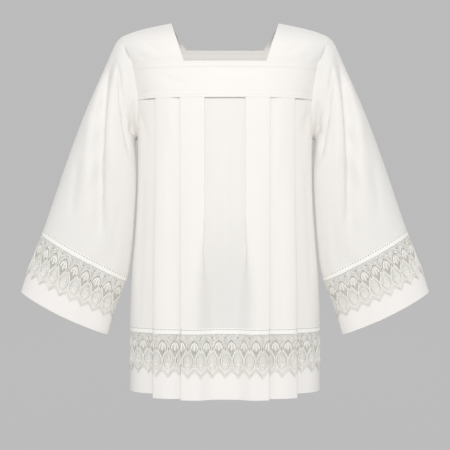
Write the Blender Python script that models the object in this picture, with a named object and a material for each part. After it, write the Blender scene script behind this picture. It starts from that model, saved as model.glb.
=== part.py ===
"""A surplice worn open and hollow: square yoke, knife-pleated skirts, bell sleeves, lace set in above the hems.

Metres, +Z up. The origin is between the shoulders, level with the side points of the neck, where the wearer
holds the garment up. The front faces -Y, and the wearer's left sleeve is at +X. Every piece of cloth is a thin
wall whose middle surface is worked out from the sizes below. Points that two pieces share at a seam are found
once, so the pieces meet there on one mitre.
"""

import math
from collections import namedtuple

import bpy
import numpy as np

CLOTH_WALL = 0.0010
LACE_WALL = 0.0010
SEAM_GAP = 0.0003
FRONT, BACK = -1, 1

# Heights, from the neck's side points down
BACK_NECKLINE = -0.047
FRONT_NECKLINE = -0.098
YOKE_BOTTOM = -0.178
UNDERARM = -0.262
SKIRT_BOTTOM = -0.6835
HEM_TOP = -0.7674
LACE_BOTTOM = -0.7932
HEM_BOTTOM = -0.8390

NECK_HALF_WIDTH = 0.0908
SHOULDER_NECK_X = 0.122
SHOULDER_POINT_X = 0.235
SHOULDER_POINT_DROP = 0.030
OUTLINE_POWER = 2.6
OUTLINE_STEPS = 240

# The body's outline at each height is a rounded oblong: half its width, and its reach to the front and the back
Level = namedtuple("Level", "z half_width front back")
BODY_LEVELS = (
    Level(-0.840, 0.2148, 0.150, 0.140),
    Level(-0.620, 0.2135, 0.143, 0.132),
    Level(-0.560, 0.2105, 0.141, 0.130),
    Level(-0.480, 0.2050, 0.138, 0.127),
    Level(-0.360, 0.2000, 0.133, 0.122),
    Level(-0.262, 0.1985, 0.129, 0.118),
    Level(-0.178, 0.2040, 0.125, 0.113),
    Level(-0.098, 0.2220, 0.118, 0.108),
    Level(-0.040, 0.2380, 0.112, 0.104),
)

# How far before or behind the side seam the armhole's edge runs, at each height of the yokes
Edge = namedtuple("Edge", "z front back")
ARMHOLE_EDGE = (Edge(-0.178, 0.054, 0.054), Edge(-0.098, 0.060, 0.056), Edge(-0.060, 0.060, 0.050))
BACK_YOKE_SLOPE = 0.023

# Pleats of half a skirt, from the centre out. The edge is where the fold shows, the lap is how far the cloth
# runs back under it, and near and far are the spaces between its three layers. The first faces the centre line,
# and the knife pleats face the side seam.
Pleat = namedtuple("Pleat", "edge_top edge_hem lap near_top near_hem far_top far_hem")
CENTRE_PLEAT = Pleat(0.0445, 0.0435, 0.012, 0.0018, 0.0030, 0.0018, 0.0045)
KNIFE_PLEATS = (
    Pleat(0.1005, 0.0975, 0.034, 0.0018, 0.0030, 0.0018, 0.0065),
    Pleat(0.1600, 0.1650, 0.042, 0.0018, 0.0030, 0.0018, 0.0130),
)
CENTRE_OPENS_FROM = -0.36
CENTRE_OPEN_AT = -0.64
CENTRE_VALLEY = 0.013
CENTRE_VALLEY_REACH = 0.020
LACE_LIFT = 0.0013
ARMHOLE_SPANS = 5

# Rings of the left sleeve below its armhole: the outer and the inner end of each, half its depth, how far the
# inner end swings forward, how far its lower edge dips between them, and the place and depth of the long fold
# in its front, from -1 at the inner end to 1 at the outer end
Ring = namedtuple("Ring", "outer_x outer_z inner_x inner_z half_depth forward dip fold_at fold_depth")
SLEEVE_RINGS = (
    Ring(0.2480, -0.0440, 0.2033, -0.2655, 0.058, 0.004, 0.000, 0.80, 0.003),
    Ring(0.2660, -0.0830, 0.2036, -0.2760, 0.058, 0.012, 0.000, 0.72, 0.006),
    Ring(0.3075, -0.1775, 0.2012, -0.3150, 0.057, 0.032, 0.000, 0.55, 0.009),
    Ring(0.3300, -0.2330, 0.2000, -0.3600, 0.056, 0.042, 0.000, 0.34, 0.010),
    Ring(0.3600, -0.3140, 0.2030, -0.4250, 0.055, 0.044, 0.000, 0.08, 0.010),
    Ring(0.3880, -0.3960, 0.2090, -0.5030, 0.054, 0.040, 0.002, -0.18, 0.009),
)
SLEEVE_LACE_TOP = Ring(0.4130, -0.4680, 0.2195, -0.5730, 0.053, 0.034, 0.003, -0.38, 0.007)
CUFF_TOP = Ring(0.4440, -0.5478, 0.2483, -0.6463, 0.052, 0.030, 0.004, -0.46, 0.004)
CUFF_BOTTOM = Ring(0.4645, -0.6095, 0.2650, -0.7050, 0.050, 0.030, 0.005, -0.50, 0.003)
LACE_OVER_CUFF = 0.38

# Plain-weave cloth and cotton lace: linear colour and roughness
Finish = namedtuple("Finish", "name colour roughness")
CLOTH = Finish("ivory cloth", (0.93, 0.91, 0.87), 0.85)
HEM_CLOTH = Finish("ivory hem cloth", (0.91, 0.89, 0.85), 0.85)
LACE = Finish("ivory lace", (0.80, 0.77, 0.69), 0.90)


def smooth(share):
    """A share from 0 to 1, eased in and out."""
    share = np.clip(share, 0, 1)
    return share * share * (3 - 2 * share)


def between(start, end, share):
    return start + (end - start) * share


def along(table, column, z):
    """A column of a table at height z, on a smooth curve through its rows."""
    heights = np.array([row.z for row in table])
    values = np.array([getattr(row, column) for row in table])
    slopes = np.gradient(values, heights)
    below = int(np.clip(np.searchsorted(heights, z) - 1, 0, len(heights) - 2))
    span = heights[below + 1] - heights[below]
    t = np.clip((z - heights[below]) / span, 0, 1)
    start, end = values[below], values[below + 1]
    curve = between(start, end, t * t * (3 - 2 * t))
    bend = span * t * (1 - t) * (slopes[below] * (1 - t) - slopes[below + 1] * t)
    return curve + bend


def outline(z, side):
    """A quarter of the body's outline at height z, from the centre line to the side seam: x, y and distance."""
    turn = np.linspace(0, math.pi / 2, OUTLINE_STEPS)
    reach = along(BODY_LEVELS, "front" if side == FRONT else "back", z)
    x = along(BODY_LEVELS, "half_width", z) * np.sin(turn) ** (2 / OUTLINE_POWER)
    y = reach * np.maximum(np.cos(turn), 0) ** (2 / OUTLINE_POWER)
    distance = np.concatenate([[0], np.cumsum(np.hypot(np.diff(x), np.diff(y)))])
    return x, side * y, distance


def on_body(z, distance, depth, side):
    """The point at a distance round the body from its centre line, a depth below the body's outline."""
    x, y, run = outline(z, side)
    away = abs(distance)
    step = 0.001
    ahead, behind = min(away + step, run[-1]), max(away - step, 0)
    along_x = np.interp(ahead, run, x) - np.interp(behind, run, x)
    along_y = np.interp(ahead, run, y) - np.interp(behind, run, y)
    if away < step:
        along_x, along_y = 1, 0
    if away > run[-1] - step:
        along_x, along_y = 0, -side
    length = math.hypot(along_x, along_y)
    out_x, out_y = -side * along_y / length, side * along_x / length
    px = np.interp(away, run, x) - out_x * depth
    py = np.interp(away, run, y) - out_y * depth
    return np.array([math.copysign(px, distance) if px > 0 else 0.0, py, z])


def armhole_distance(z, side):
    """Distance round the body from its centre line to the armhole's edge, at a height of the yokes."""
    x, y, run = outline(z, side)
    table = sorted(ARMHOLE_EDGE, key=lambda row: row.z)
    edge = along(table, "front" if side == FRONT else "back", z)
    return float(np.interp(-edge, -np.abs(y), run))


def pleat_layers(pleat, share):
    """Distances and depths of a knife pleat's points at a share of the way down, from the centre line out."""
    edge = between(pleat.edge_top, pleat.edge_hem, share)
    near = between(pleat.near_top, pleat.near_hem, share)
    far = between(pleat.far_top, pleat.far_hem, share)
    turn, hidden = edge - near / 2, edge - pleat.lap + far / 2
    half = (turn + hidden) / 2
    rows = [(hidden, 0), (half, 0), (turn, 0), (edge, near / 2)]
    rows += [(turn, near), (half, near), (hidden, near), (edge - pleat.lap, near + far / 2)]
    rows += [(hidden, near + far), (half, near + far * 0.9), (edge, near + far * 0.65)]
    return rows


def centre_pleat_layers(pleat, z, share):
    """The inverted pleat beside the centre, folded flat at the yoke and opened to one side of a valley at the hem."""
    edge = between(pleat.edge_top, pleat.edge_hem, share)
    near = between(pleat.near_top, pleat.near_hem, share)
    far = between(pleat.far_top, pleat.far_hem, share)
    turn, hidden = edge + near / 2, edge + pleat.lap - far / 2
    folded = [(hidden, near + far), (edge + pleat.lap, near + far / 2), (hidden, near)]
    folded += [(turn, near), (edge, near / 2), (turn, 0)]
    opened = smooth((CENTRE_OPENS_FROM - z) / (CENTRE_OPENS_FROM - CENTRE_OPEN_AT))
    floor = between(near + far, CENTRE_VALLEY, opened)
    rows = [(0.0, floor), (edge * 0.3, floor)]
    for index, (distance, depth) in enumerate(folded):
        step = index / (len(folded) - 1)
        open_distance = edge + (2 * step - 1) * CENTRE_VALLEY_REACH
        open_depth = CENTRE_VALLEY * (1 - smooth(step))
        rows.append((between(distance, open_distance, opened), between(depth, open_depth, opened)))
    return rows


def skirt_half(z, side):
    """Distances and depths of half a skirt's points at height z, from the centre line to the side seam."""
    share = np.clip((YOKE_BOTTOM - z) / (YOKE_BOTTOM - HEM_BOTTOM), 0, 1)
    rows = centre_pleat_layers(CENTRE_PLEAT, z, share)
    for pleat in KNIFE_PLEATS:
        rows += pleat_layers(pleat, share)
    edge, start_depth = rows[-1]
    seam = outline(z, side)[2][-1]
    corner = armhole_share(side)
    rows.append((between(edge, seam, corner / 2), start_depth * 0.3))
    for step in range(ARMHOLE_SPANS + 1):
        turned = math.radians(90) * step / ARMHOLE_SPANS
        rows.append((between(edge, seam, 1 - (1 - corner) * math.cos(turned)), 0.0))
    return rows


def armhole_share(side):
    """Where the armhole meets the yoke, as a share of the way from the last pleat to the side seam."""
    seam = outline(YOKE_BOTTOM, side)[2][-1]
    edge = KNIFE_PLEATS[-1].edge_top
    return (armhole_distance(YOKE_BOTTOM, side) - edge) / (seam - edge)


def skirt_grid(side, heights):
    """Middle surface of a skirt, lace or hem: one row of points for each (height, lift), from seam to seam."""
    count = len(skirt_half(YOKE_BOTTOM, side))
    grid = []
    for z, lift in heights:
        half = []
        for column in range(count):
            height = z
            if z == YOKE_BOTTOM:
                into_armhole = max(0, column - (count - 1 - ARMHOLE_SPANS)) / ARMHOLE_SPANS
                height = YOKE_BOTTOM - (YOKE_BOTTOM - UNDERARM) * math.sin(math.radians(90) * into_armhole)
            distance, depth = skirt_half(height, side)[column]
            half.append((height, distance, depth))
        left = [on_body(h, distance, depth, side) for h, distance, depth in half]
        right = [point * (-1, 1, 1) for point in reversed(left[1:])]
        grid.append(right + left)
    return np.array(grid)


def yoke_top(side, share):
    """Height of a yoke's upper edge, at a share of the way from the neck's corner to the armhole."""
    return FRONT_NECKLINE if side == FRONT else BACK_NECKLINE - BACK_YOKE_SLOPE * share


def yoke_grid(side, rows, strap_spans):
    """Middle surface of a yoke, from armhole to armhole, with its strap seams' points in the top row."""
    shares = np.linspace(0, 1, strap_spans + 1)
    grid = []
    for down in np.linspace(0, 1, rows + 1):
        left = []
        for share in (-1.0, -0.5, *shares):
            z = between(yoke_top(side, max(share, 0)), YOKE_BOTTOM, down)
            corner = NECK_HALF_WIDTH + 0.0006
            if share < 0:
                distance = corner * (1 + share)
            else:
                distance = between(corner, armhole_distance(z, side), share)
            left.append(on_body(z, distance, 0.0, side))
        right = [point * (-1, 1, 1) for point in reversed(left[1:])]
        grid.append(right + left)
    return np.array(grid)


def ridge(share):
    """The strap's highest line, from the neck to the shoulder point."""
    drop = 0.73 * share + 0.27 * share**4
    return np.array([between(SHOULDER_NECK_X, SHOULDER_POINT_X, share), 0.0, -SHOULDER_POINT_DROP * drop])


def strap_grid(front_yoke, back_yoke, strap_spans, front_rows, back_rows):
    """Middle surface of the left shoulder strap, from the front yoke's seam over the ridge to the back yoke's."""
    front_seam = front_yoke[0, -strap_spans - 1 :]
    back_seam = back_yoke[0, -strap_spans - 1 :]
    grid = []
    for step in range(-front_rows, back_rows + 1):
        seam, rows = (front_seam, front_rows) if step <= 0 else (back_seam, back_rows)
        turned = math.radians(90) * abs(step) / rows
        reach, drop = math.sin(turned) ** 1.05, 1 - max(math.cos(turned), 0) ** 1.05
        line = []
        for column, end in enumerate(seam):
            top = ridge(column / strap_spans)
            line.append([between(top[0], end[0], drop), end[1] * reach, between(top[2], end[2], drop)])
        grid.append(line)
    grid[0], grid[-1] = front_seam.tolist(), back_seam.tolist()
    return np.array(grid)


def sleeve_profile(across):
    """Share of a sleeve's half depth at a place from -1 at its sharp inner fold to 1 at its round outer side."""
    return 1.12 * np.sqrt(np.maximum(1 - across**2, 0)) * (np.maximum(1 + across, 0) / 2) ** 0.2


def sleeve_ring(ring, turns):
    """Middle surface of one ring of the left sleeve, at the given turns from its outer end towards the back."""
    outer = np.array([ring.outer_x, 0.0, ring.outer_z])
    inner = np.array([ring.inner_x, -ring.forward, ring.inner_z])
    points = []
    for turn in turns:
        across = math.cos(turn)
        depth = ring.half_depth * sleeve_profile(across)
        if math.sin(turn) < 0:
            depth -= ring.fold_depth * math.exp(-(((across - ring.fold_at) / 0.2) ** 2))
        point = between(inner, outer, (across + 1) / 2)
        point[1] += math.copysign(depth, math.sin(turn)) if abs(across) < 1 else 0.0
        point[2] -= ring.dip * (1 - across**2)
        points.append(point)
    return np.array(points)


def blend(upper, lower, share):
    """The ring at a share of the way from one ring down to another."""
    return Ring(*(between(a, b, share) for a, b in zip(upper, lower)))


def armhole_ring(strap, front_yoke, back_yoke, front_skirt, back_skirt, front_rows):
    """The left armhole's points, from the shoulder point down the back, under the arm and up the front."""
    back_way = [*strap[front_rows:, -1], *back_yoke[1:, -1], *back_skirt[0, -ARMHOLE_SPANS:]]
    front_way = [*strap[: front_rows + 1, -1][::-1], *front_yoke[1:, -1], *front_skirt[0, -ARMHOLE_SPANS:]]
    return np.array(back_way + front_way[-2:0:-1])


def sleeve_turns(ring):
    """Each armhole point's turn round the sleeve, from its height between the shoulder point and the underarm."""
    shoulder, underarm = ring[0], ring[np.argmin(ring[:, 2])]
    axis = shoulder - underarm
    across = np.clip(2 * (ring - underarm) @ axis / (axis @ axis) - 1, -1, 1)
    lowest = int(np.argmin(ring[:, 2]))
    turns = np.arccos(across)
    turns[lowest] = math.pi
    turns[lowest + 1 :] *= -1
    return turns


def surface_normals(grid, wrapped, inside):
    """Unit normals of a grid of points, facing away from the point inside."""
    if wrapped:
        across = np.roll(grid, -1, axis=1) - np.roll(grid, 1, axis=1)
    else:
        across = np.gradient(grid, axis=1)
    normals = np.cross(np.gradient(grid, axis=0), across)
    normals /= np.linalg.norm(normals, axis=2, keepdims=True)
    return normals if np.sum(normals * (grid - inside)) > 0 else -normals


class Cloth:
    """One cut piece: the grid of its middle surface, its normals and how far each row is lifted off it."""

    def __init__(self, name, grid, finish, wall=CLOTH_WALL, wrapped=False, inside=None, upright=False, lifts=None):
        self.name, self.grid, self.finish = name, grid, finish
        self.wall, self.wrapped = wall, wrapped
        self.normals = surface_normals(grid, wrapped, np.array(inside or grid.mean(axis=(0, 1))))
        if upright:
            self.normals[..., 2] = 0
            self.normals /= np.linalg.norm(self.normals, axis=2, keepdims=True)
        self.lifts = np.array(lifts or [0.0] * len(grid))

    def mirrored(self, name):
        """The same piece on the wearer's other side."""
        other = Cloth(name, self.grid * (-1, 1, 1), self.finish, self.wall, self.wrapped)
        other.normals, other.lifts = self.normals * (-1, 1, 1), self.lifts
        return other


def mitre(pieces):
    """Gives pieces that share a point at a seam one normal there."""
    shared = {}
    for piece in pieces:
        for place in np.ndindex(piece.grid.shape[:2]):
            key = tuple(np.round(piece.grid[place], 6))
            shared.setdefault(key, []).append((piece, place))
    for meeting in shared.values():
        if len({piece.name for piece, _ in meeting}) > 1:
            normal = sum(piece.normals[place] for piece, place in meeting)
            for piece, place in meeting:
                piece.normals[place] = normal / np.linalg.norm(normal)


def draw_back(grid, wrapped):
    """Draws the free edges of a grid back by half of the gap at a seam."""
    drawn = grid.copy()
    lines = [(grid[0], grid[1], drawn[0]), (grid[-1], grid[-2], drawn[-1])]
    if not wrapped:
        lines += [(grid[:, 0], grid[:, 1], drawn[:, 0]), (grid[:, -1], grid[:, -2], drawn[:, -1])]
    for edge, next_line, target in lines:
        way = next_line - edge
        target += way / np.linalg.norm(way, axis=-1, keepdims=True) * SEAM_GAP / 2
    return drawn


def sew(piece):
    """Makes a piece's closed wall as an object, both faces split on the same diagonals."""
    middle = draw_back(piece.grid, piece.wrapped) + piece.normals * piece.lifts[:, None, None]
    rows, columns = middle.shape[:2]
    thickness = piece.normals * piece.wall / 2
    points = np.concatenate([(middle + thickness).reshape(-1, 3), (middle - thickness).reshape(-1, 3)])
    under = rows * columns
    spans = columns if piece.wrapped else columns - 1
    faces = []
    for row in range(rows - 1):
        for column in range(spans):
            a = row * columns + column
            b = row * columns + (column + 1) % columns
            c, d = b + columns, a + columns
            faces += [(a, d, c), (a, c, b), (a + under, c + under, d + under), (a + under, b + under, c + under)]
    last = (rows - 1) * columns
    for column in range(spans):
        a, b = column, (column + 1) % columns
        faces += [(a, b, b + under), (a, b + under, a + under)]
        a, b = last + a, last + b
        faces += [(a, b + under, b), (a, a + under, b + under)]
    if not piece.wrapped:
        for row in range(rows - 1):
            a, b = row * columns, (row + 1) * columns
            faces += [(a, b + under, b), (a, a + under, b + under)]
            a, b = a + columns - 1, b + columns - 1
            faces += [(a, b, b + under), (a, b + under, a + under)]
    outward = np.cross(points[columns] - points[0], points[1] - points[0]) @ piece.normals[0, 0]
    if outward < 0:
        faces = [face[::-1] for face in faces]
    mesh = bpy.data.meshes.new(piece.name)
    mesh.from_pydata(points.tolist(), [], faces)
    mesh.materials.append(finish_material(piece.finish))
    mesh.shade_smooth()
    mesh.set_sharp_from_angle(angle=math.radians(40))
    thing = bpy.data.objects.new(piece.name, mesh)
    bpy.context.scene.collection.objects.link(thing)
    return thing


def finish_material(finish):
    material = bpy.data.materials.get(finish.name)
    if material is None:
        material = bpy.data.materials.new(finish.name)
        material.use_nodes = True
        shader = material.node_tree.nodes["Principled BSDF"]
        shader.inputs["Base Color"].default_value = (*finish.colour, 1)
        shader.inputs["Roughness"].default_value = finish.roughness
        shader.inputs["Metallic"].default_value = 0
    return material


STRAP_SPANS, FRONT_ROWS, BACK_ROWS = 4, 5, 4
MIDDLE_OF_BODY = (0.0, 0.0, -0.40)
SKIRT_HEIGHTS = [(YOKE_BOTTOM, 0), (-0.36, 0), (-0.48, 0), (-0.60, 0), (SKIRT_BOTTOM, 0)]
LACE_HEIGHTS = [(SKIRT_BOTTOM, 0), (HEM_TOP + 0.0074, 0), (HEM_TOP + 0.0006, LACE_LIFT), (LACE_BOTTOM, LACE_LIFT)]
HEM_HEIGHTS = [(HEM_TOP, 0), (HEM_BOTTOM, 0)]


def body_pieces():
    """Yokes, straps, skirts, lace and hem bands."""
    pieces = []
    for side, word in ((FRONT, "front"), (BACK, "back")):
        parts = (
            ("skirt", SKIRT_HEIGHTS, CLOTH, CLOTH_WALL),
            ("lace", LACE_HEIGHTS, LACE, LACE_WALL),
            ("hem", HEM_HEIGHTS, HEM_CLOTH, CLOTH_WALL),
        )
        for part, heights, finish, wall in parts:
            grid = skirt_grid(side, heights)
            lifts = [lift for _, lift in heights]
            pieces.append(Cloth(f"{part}_{word}", grid, finish, wall, False, MIDDLE_OF_BODY, True, lifts))
    front_yoke = yoke_grid(FRONT, 2, STRAP_SPANS)
    back_yoke = yoke_grid(BACK, 3, STRAP_SPANS)
    pieces.append(Cloth("yoke_front", front_yoke, CLOTH, inside=MIDDLE_OF_BODY, upright=True))
    pieces.append(Cloth("yoke_back", back_yoke, CLOTH, inside=MIDDLE_OF_BODY, upright=True))
    strap = strap_grid(front_yoke, back_yoke, STRAP_SPANS, FRONT_ROWS, BACK_ROWS)
    pieces.append(Cloth("shoulder_left", strap, CLOTH, inside=MIDDLE_OF_BODY))
    pieces.append(pieces[-1].mirrored("shoulder_right"))
    return pieces


def sleeve_pieces(body):
    """Both sleeves with their lace and cuffs, from the armhole that the body's pieces leave."""
    grids = {piece.name: piece.grid for piece in body}
    ring = armhole_ring(
        grids["shoulder_left"],
        grids["yoke_front"],
        grids["yoke_back"],
        grids["skirt_front"],
        grids["skirt_back"],
        FRONT_ROWS,
    )
    turns = sleeve_turns(ring)
    sleeve = np.array([ring] + [sleeve_ring(row, turns) for row in (*SLEEVE_RINGS, SLEEVE_LACE_TOP)])
    lace_rows = (
        (SLEEVE_LACE_TOP, 0.0),
        (blend(SLEEVE_LACE_TOP, CUFF_TOP, 0.91), 0.0),
        (blend(SLEEVE_LACE_TOP, CUFF_TOP, 0.993), LACE_LIFT),
        (blend(CUFF_TOP, CUFF_BOTTOM, LACE_OVER_CUFF), LACE_LIFT),
    )
    lace = np.array([sleeve_ring(row, turns) for row, _ in lace_rows])
    cuff = np.array([sleeve_ring(row, turns) for row in (CUFF_TOP, CUFF_BOTTOM)])
    left = [
        Cloth("sleeve_left", sleeve, CLOTH, wrapped=True),
        Cloth("sleeve_lace_left", lace, LACE, LACE_WALL, wrapped=True, lifts=[lift for _, lift in lace_rows]),
        Cloth("cuff_left", cuff, HEM_CLOTH, wrapped=True),
    ]
    return left + [piece.mirrored(piece.name.replace("left", "right")) for piece in left]


def main():
    for thing in list(bpy.data.objects):
        bpy.data.objects.remove(thing)
    body = body_pieces()
    pieces = body + sleeve_pieces(body)
    mitre(pieces)
    for piece in pieces:
        sew(piece)


main()
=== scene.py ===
import math
from collections import namedtuple

import bpy
import numpy as np
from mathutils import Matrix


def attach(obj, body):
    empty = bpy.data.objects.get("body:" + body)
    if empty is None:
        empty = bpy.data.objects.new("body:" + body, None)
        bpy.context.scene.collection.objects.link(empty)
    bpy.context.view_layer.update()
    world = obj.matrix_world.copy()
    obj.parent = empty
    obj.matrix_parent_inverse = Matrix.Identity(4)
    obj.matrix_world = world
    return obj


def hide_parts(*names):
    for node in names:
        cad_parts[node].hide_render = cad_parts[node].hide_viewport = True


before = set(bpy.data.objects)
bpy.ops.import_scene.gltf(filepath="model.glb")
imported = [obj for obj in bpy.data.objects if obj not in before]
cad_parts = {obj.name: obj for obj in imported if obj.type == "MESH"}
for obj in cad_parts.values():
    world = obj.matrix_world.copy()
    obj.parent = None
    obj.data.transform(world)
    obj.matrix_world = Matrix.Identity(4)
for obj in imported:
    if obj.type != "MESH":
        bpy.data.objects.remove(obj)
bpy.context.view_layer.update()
scene = bpy.context.scene
scene.view_settings.view_transform = "Standard"

# --- Studio -------------------------------------------------------------------------------------------------
# A pale grey sweep, floor and walls in one round bowl, with a soft light high in front, one at each side and
# one behind. The camera stands level in front of the garment's middle, at a portrait lens's distance.
CAMERA_DISTANCE = 3.0
CAMERA_HEIGHT = -0.458
VIEW_WIDTH = 1.026
SENSOR = 36.0
FLOOR_Z = -1.35
BOWL_RADIUS = 9.0
BOWL_RINGS = 24
BOWL_SPOKES = 64
FLOOR_SPREAD = 0.7
WALL_RISE = 0.9
BOWL_GREY = (0.487, 0.487, 0.487, 1)

camera = bpy.data.objects.new("camera", bpy.data.cameras.new("camera"))
camera.data.sensor_width = SENSOR
camera.data.lens = SENSOR * CAMERA_DISTANCE / VIEW_WIDTH
camera.location = (0, -CAMERA_DISTANCE, CAMERA_HEIGHT)
camera.rotation_euler = (math.radians(90), 0, 0)
scene.collection.objects.link(camera)
scene.camera = camera

Lamp = namedtuple("Lamp", "name place size power")
LAMPS = (
    Lamp("front_soft", (0.0, -4.0, 1.4), 0.9, 91),
    Lamp("left_soft", (3.4, -1.9, 0.1), 2.4, 12),
    Lamp("right_soft", (-3.4, -1.9, 0.1), 2.4, 12),
    Lamp("back_soft", (0.0, 3.6, 1.3), 2.6, 58),
)
LAMP_TARGET = (0, 0, -0.45)
for lamp in LAMPS:
    light = bpy.data.lights.new(lamp.name, "AREA")
    light.shape = "DISK"
    light.size = lamp.size
    light.energy = lamp.power
    thing = bpy.data.objects.new(lamp.name, light)
    thing.location = lamp.place
    x, y, z = np.array(LAMP_TARGET) - lamp.place
    thing.rotation_euler = (math.atan2(math.hypot(x, y), -z), 0, math.atan2(y, x) - math.pi / 2)
    scene.collection.objects.link(thing)

world = bpy.data.worlds.new("studio")
world.use_nodes = True
world.node_tree.nodes["Background"].inputs["Color"].default_value = BOWL_GREY
scene.world = world


def bowl_mesh():
    """A floor that rises into a round wall and closes overhead."""
    turns = np.linspace(0, 2 * math.pi, BOWL_SPOKES, endpoint=False)
    rise = np.linspace(0, math.pi, BOWL_RINGS)
    points = [(0, 0, FLOOR_Z)]
    for lift in rise[1:-1]:
        reach = BOWL_RADIUS * math.sin(lift) ** FLOOR_SPREAD
        height = FLOOR_Z + BOWL_RADIUS * (1 - math.cos(lift)) * WALL_RISE
        points += [(reach * math.cos(turn), reach * math.sin(turn), height) for turn in turns]
    points.append((0, 0, FLOOR_Z + 2 * BOWL_RADIUS * WALL_RISE))
    last = len(points) - 1
    top = last - BOWL_SPOKES
    faces = []
    for spoke in range(BOWL_SPOKES):
        after = (spoke + 1) % BOWL_SPOKES
        faces.append((0, 1 + spoke, 1 + after))
        faces.append((last, top + after, top + spoke))
        for ring in range(BOWL_RINGS - 3):
            a, b = 1 + ring * BOWL_SPOKES + spoke, 1 + ring * BOWL_SPOKES + after
            faces.append((a, a + BOWL_SPOKES, b + BOWL_SPOKES, b))
    mesh = bpy.data.meshes.new("sweep")
    mesh.from_pydata(points, [], faces)
    mesh.shade_smooth()
    return mesh


paint = bpy.data.materials.new("sweep paint")
paint.use_nodes = True
shader = paint.node_tree.nodes["Principled BSDF"]
shader.inputs["Base Color"].default_value = (0.02, 0.02, 0.02, 1)
shader.inputs["Roughness"].default_value = 1.0
shader.inputs["Specular IOR Level"].default_value = 0.0
shader.inputs["Emission Color"].default_value = BOWL_GREY
shader.inputs["Emission Strength"].default_value = 1.0
sweep = bpy.data.objects.new("sweep", bowl_mesh())
sweep.data.materials.append(paint)
scene.collection.objects.link(sweep)

# --- Skirts -------------------------------------------------------------------------------------------------
# Front and back, each one width of plain-weave cloth pleated to its yoke and sewn in that seam: an inverted
# pleat in the middle that falls open into a valley, and two knife pleats a side that face the side seams.
FRONT, BACK = -1, 1
YOKE_BOTTOM = -0.178
UNDERARM = -0.262
SKIRT_BOTTOM = -0.6835
HEM_TOP = -0.7674
HEM_BOTTOM = -0.8390
OUTLINE_POWER = 2.6
SKIRT_ROWS = 40
CLOTH_THICKNESS = 0.0006

# The garment's outline at each height is a rounded oblong: half its width, and its reach to front and back
Level = namedtuple("Level", "z half_width front back")
BODY_LEVELS = (
    Level(-0.840, 0.2148, 0.150, 0.140),
    Level(-0.620, 0.2135, 0.143, 0.132),
    Level(-0.560, 0.2105, 0.141, 0.130),
    Level(-0.480, 0.2050, 0.138, 0.127),
    Level(-0.360, 0.2000, 0.133, 0.122),
    Level(-0.262, 0.1985, 0.129, 0.118),
    Level(-0.178, 0.2040, 0.125, 0.113),
    Level(-0.098, 0.2220, 0.118, 0.108),
    Level(-0.040, 0.2380, 0.112, 0.104),
)
OUTLINE_STEPS = 400
OUTLINE_LEVELS = 240
OUTLINE_NEAR = 2


def smooth(share):
    """A share from 0 to 1, eased in and out."""
    share = np.clip(share, 0, 1)
    return share * share * (3 - 2 * share)


def between(start, end, share):
    return start + (end - start) * share


def along(rows, column, places, at):
    """A column of a table at some places, on a smooth curve through its rows."""
    values = np.array([getattr(row, column) for row in rows])
    places = np.asarray(places, float)
    slopes = np.gradient(values, places)
    below = np.clip(np.searchsorted(places, at) - 1, 0, len(places) - 2)
    span = places[below + 1] - places[below]
    t = np.clip((at - places[below]) / span, 0, 1)
    bend = span * t * (1 - t) * (slopes[below] * (1 - t) - slopes[below + 1] * t)
    return between(values[below], values[below + 1], t * t * (3 - 2 * t)) + bend


def outline_table(side):
    """Quarters of the outline at many heights: x and y at even shares of each, and their lengths."""
    heights = np.linspace(BODY_LEVELS[0].z, BODY_LEVELS[-1].z, OUTLINE_LEVELS)
    places = [row.z for row in BODY_LEVELS]
    half_widths = along(BODY_LEVELS, "half_width", places, heights)
    reaches = along(BODY_LEVELS, "front" if side == FRONT else "back", places, heights)
    turn = np.linspace(0, math.pi / 2, OUTLINE_STEPS)
    shares = np.linspace(0, 1, OUTLINE_STEPS)
    x, y, lengths = [], [], []
    for half_width, reach in zip(half_widths, reaches):
        px = half_width * np.sin(turn) ** (2 / OUTLINE_POWER)
        py = side * reach * np.maximum(np.cos(turn), 0) ** (2 / OUTLINE_POWER)
        run = np.concatenate([[0], np.cumsum(np.hypot(np.diff(px), np.diff(py)))])
        x.append(np.interp(shares * run[-1], run, px))
        y.append(np.interp(shares * run[-1], run, py))
        lengths.append(run[-1])
    return heights, np.array(x), np.array(y), np.array(lengths)


OUTLINES = {side: outline_table(side) for side in (FRONT, BACK)}


def seam_distance(z, side):
    """Distance round the garment from its centre line to the side seam."""
    heights, _, _, lengths = OUTLINES[side]
    return np.interp(z, heights, lengths)


def on_body(z, distance, depth, side):
    """Points at distances round the garment from its centre line, each a depth inside its outline."""
    heights, x, y, lengths = OUTLINES[side]
    z, distance, depth = np.broadcast_arrays(z, distance, depth)
    level = np.clip((z - heights[0]) / (heights[1] - heights[0]), 0, OUTLINE_LEVELS - 1.001)
    row = level.astype(int)
    share_z = level - row
    place = np.clip(np.abs(distance) / seam_distance(z, side), 0, 1) * (OUTLINE_STEPS - 1)

    def read(table, at):
        column = np.clip(at, 0, OUTLINE_STEPS - 1.001).astype(int)
        share = np.clip(at, 0, OUTLINE_STEPS - 1) - column
        upper = between(table[row, column], table[row, column + 1], share)
        lower = between(table[row + 1, column], table[row + 1, column + 1], share)
        return between(upper, lower, share_z)

    along_x = read(x, place + OUTLINE_NEAR) - read(x, place - OUTLINE_NEAR)
    along_y = read(y, place + OUTLINE_NEAR) - read(y, place - OUTLINE_NEAR)
    along_y = np.where(place < OUTLINE_NEAR, 0, along_y)
    along_x = np.where(place > OUTLINE_STEPS - 1 - OUTLINE_NEAR, 0, along_x)
    length = np.hypot(along_x, along_y)
    px = read(x, place) + side * along_y / length * depth
    py = read(y, place) - side * along_x / length * depth
    return np.stack([np.sign(distance) * np.maximum(px, 0), py, z], axis=-1)


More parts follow.
